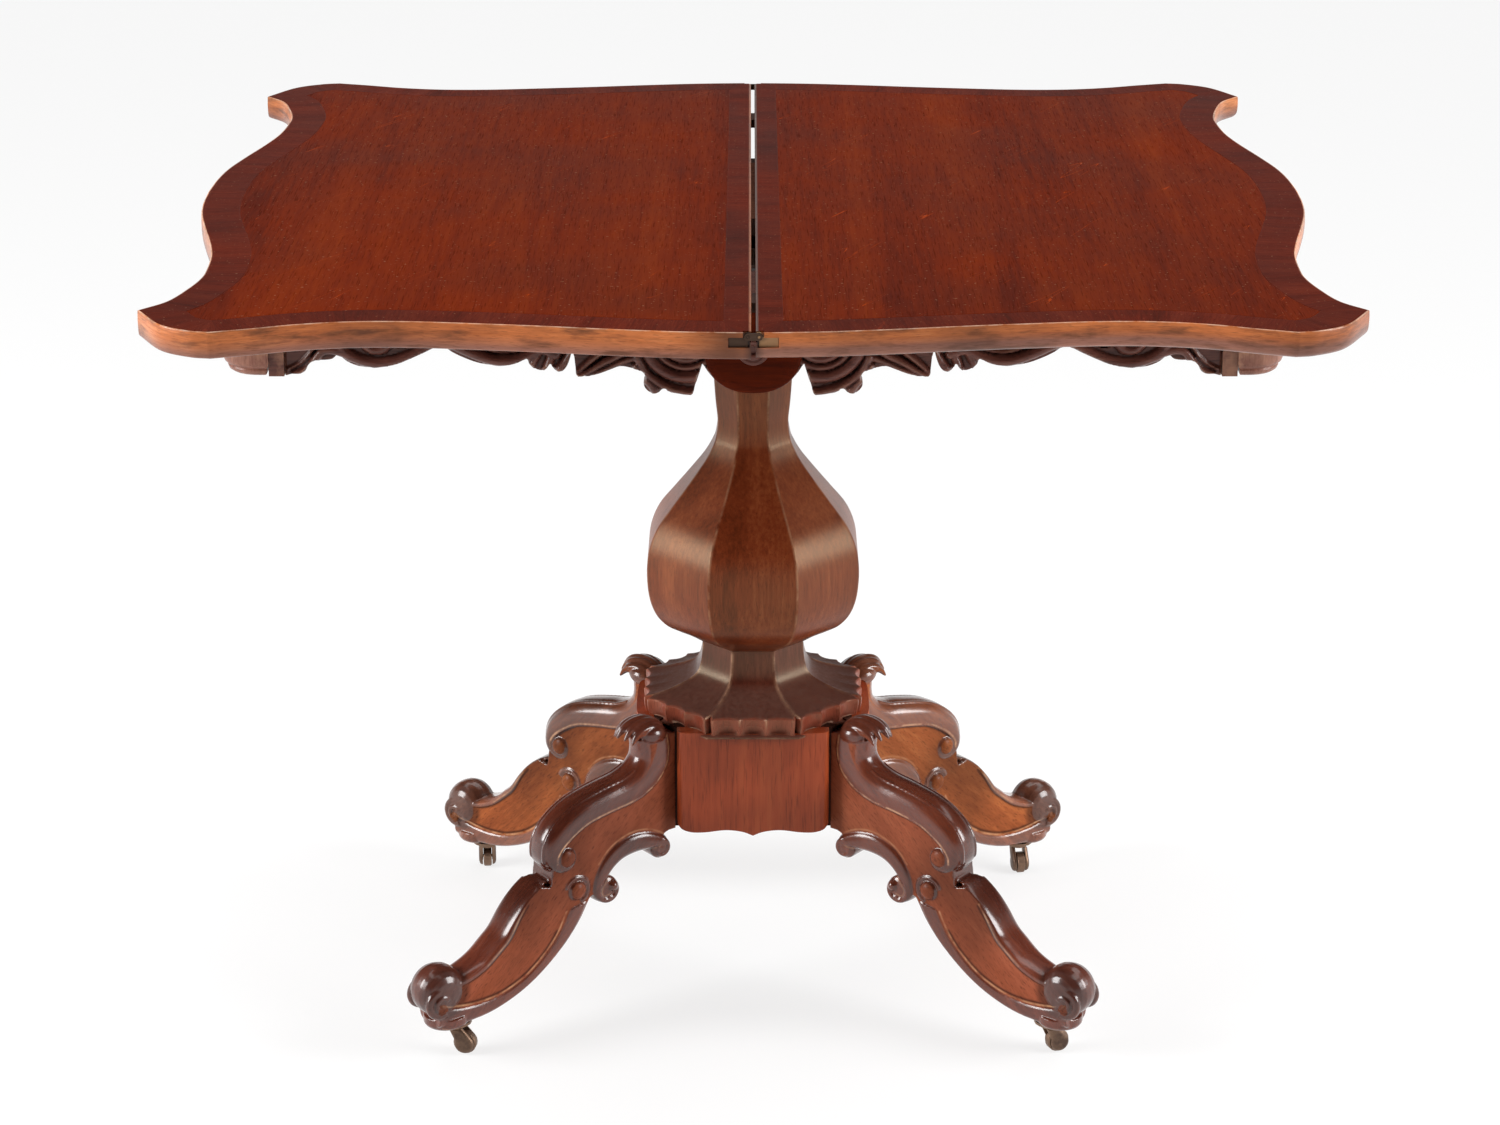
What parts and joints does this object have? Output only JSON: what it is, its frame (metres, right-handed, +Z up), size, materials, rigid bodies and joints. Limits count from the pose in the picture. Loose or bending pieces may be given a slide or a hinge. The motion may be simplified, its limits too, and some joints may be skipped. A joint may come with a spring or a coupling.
{
  "type": "card table",
  "caption": "Carved mahogany card table with a shaped fold-over top that swivels on its frame, an octagonal baluster pillar and scroll legs on castors.",
  "frame": {"origin": "on the floor under the middle of the open top", "axes": "+X across the two open leaves, from the lower leaf towards the flap, +Y to the back, +Z up"},
  "size_m": [0.961, 0.921, 0.745],
  "materials": {
    "field_veneer": "polished red-brown mahogany veneer with fine grain from front to back",
    "crossband_veneer": "polished darker red-brown veneer, grain across the border",
    "leaf_edge_wood": "worn orange-brown edge",
    "frame_wood": "dark brown carved wood, satin",
    "pillar_wood": "polished brown wood with upright grain",
    "leg_wood": "polished carved wood, orange-brown faces and dark rolls",
    "inner_wood": "unpolished pale wood",
    "brass": "dull, tarnished",
    "pivot_iron": "dull"
  },
  "bodies": {
    "stand": {"pillar": "pillar_wood", "pillar_skirt": "pillar_wood", "hub_core": "inner_wood", "hub_front_board": "pillar_wood", "hub_back_board": "pillar_wood", "hub_left_board": "pillar_wood", "hub_right_board": "pillar_wood", "front_apron": "frame_wood", "back_apron": "frame_wood", "left_apron": "frame_wood", "right_apron": "frame_wood", "pivot_rail": "inner_wood", "plain_rail": "inner_wood", "pillar_block": "inner_wood", "leg_front_left": "leg_wood", "leg_front_right": "leg_wood", "leg_back_left": "leg_wood", "leg_back_right": "leg_wood", "caster_plate_front_left": "brass", "caster_plate_front_right": "brass", "caster_plate_back_left": "brass", "caster_plate_back_right": "brass", "corner_block_front_left": "frame_wood", "corner_block_front_right": "frame_wood", "corner_block_back_left": "frame_wood", "corner_block_back_right": "frame_wood"},
    "lower_leaf": {"lower_leaf": "leaf_edge_wood", "lower_field_veneer": "field_veneer", "lower_crossband": "crossband_veneer", "hinge_plate_lower_front": "brass", "hinge_plate_lower_back": "brass", "pivot_plate": "pivot_iron", "pivot_bolt": "pivot_iron", "pivot_washer": "pivot_iron", "pivot_nut": "pivot_iron"},
    "hinge_links": {"hinge_link_front": "brass", "hinge_link_back": "brass"},
    "flap_leaf": {"flap_leaf": "leaf_edge_wood", "flap_field_veneer": "field_veneer", "flap_crossband": "crossband_veneer", "hinge_plate_flap_front": "brass", "hinge_plate_flap_back": "brass", "leaf_tenon_front": "leaf_edge_wood", "leaf_tenon_back": "leaf_edge_wood"},
    "caster_front_left": {"caster_fork_front_left": "brass", "caster_axle_front_left": "brass"},
    "wheel_front_left": {"caster_wheel_front_left": "brass"},
    "caster_front_right": {"caster_fork_front_right": "brass", "caster_axle_front_right": "brass"},
    "wheel_front_right": {"caster_wheel_front_right": "brass"},
    "caster_back_left": {"caster_fork_back_left": "brass", "caster_axle_back_left": "brass"},
    "wheel_back_left": {"caster_wheel_back_left": "brass"},
    "caster_back_right": {"caster_fork_back_right": "brass", "caster_axle_back_right": "brass"},
    "wheel_back_right": {"caster_wheel_back_right": "brass"}
  },
  "joints": [
    {"name": "top_swivel", "type": "hinge", "parent": "stand", "child": "lower_leaf", "pos_m": [-0.12012, 0.12012, 0.7225], "axis": [0, 0, 1], "range_deg": [0, 90]},
    {"name": "link_fold", "type": "hinge", "parent": "lower_leaf", "child": "hinge_links", "pos_m": [-0.00425, 0, 0.741], "axis": [0, -1, 0], "range_deg": [0, 90]},
    {"name": "flap_fold", "type": "hinge", "parent": "hinge_links", "child": "flap_leaf", "pos_m": [0.00425, 0, 0.741], "axis": [0, -1, 0], "range_deg": [0, 90]},
    {"name": "caster_swivel_front_left", "type": "hinge", "parent": "stand", "child": "caster_front_left", "pos_m": [-0.26622, -0.19843, 0.0325], "axis": [0, 0, 1], "continuous": true},
    {"name": "wheel_spin_front_left", "type": "hinge", "parent": "caster_front_left", "child": "wheel_front_left", "pos_m": [-0.25834, -0.19982, 0.0105], "axis": [0.1736, 0.9848, 0], "continuous": true},
    {"name": "caster_swivel_front_right", "type": "hinge", "parent": "stand", "child": "caster_front_right", "pos_m": [0.26622, -0.19843, 0.0325], "axis": [0, 0, 1], "continuous": true},
    {"name": "wheel_spin_front_right", "type": "hinge", "parent": "caster_front_right", "child": "wheel_front_right", "pos_m": [0.27347, -0.19505, 0.0105], "axis": [-0.4226, 0.9063, 0], "continuous": true},
    {"name": "caster_swivel_back_left", "type": "hinge", "parent": "stand", "child": "caster_back_left", "pos_m": [-0.26622, 0.19843, 0.0325], "axis": [0, 0, 1], "continuous": true},
    {"name": "wheel_spin_back_left", "type": "hinge", "parent": "caster_back_left", "child": "wheel_back_left", "pos_m": [-0.26692, 0.2064, 0.0105], "axis": [-0.9962, -0.0872, 0], "continuous": true},
    {"name": "caster_swivel_back_right", "type": "hinge", "parent": "stand", "child": "caster_back_right", "pos_m": [0.26622, 0.19843, 0.0325], "axis": [0, 0, 1], "continuous": true},
    {"name": "wheel_spin_back_right", "type": "hinge", "parent": "caster_back_right", "child": "wheel_back_right", "pos_m": [0.26761, 0.19056, 0.0105], "axis": [0.9848, 0.1736, 0], "continuous": true}
  ]
}
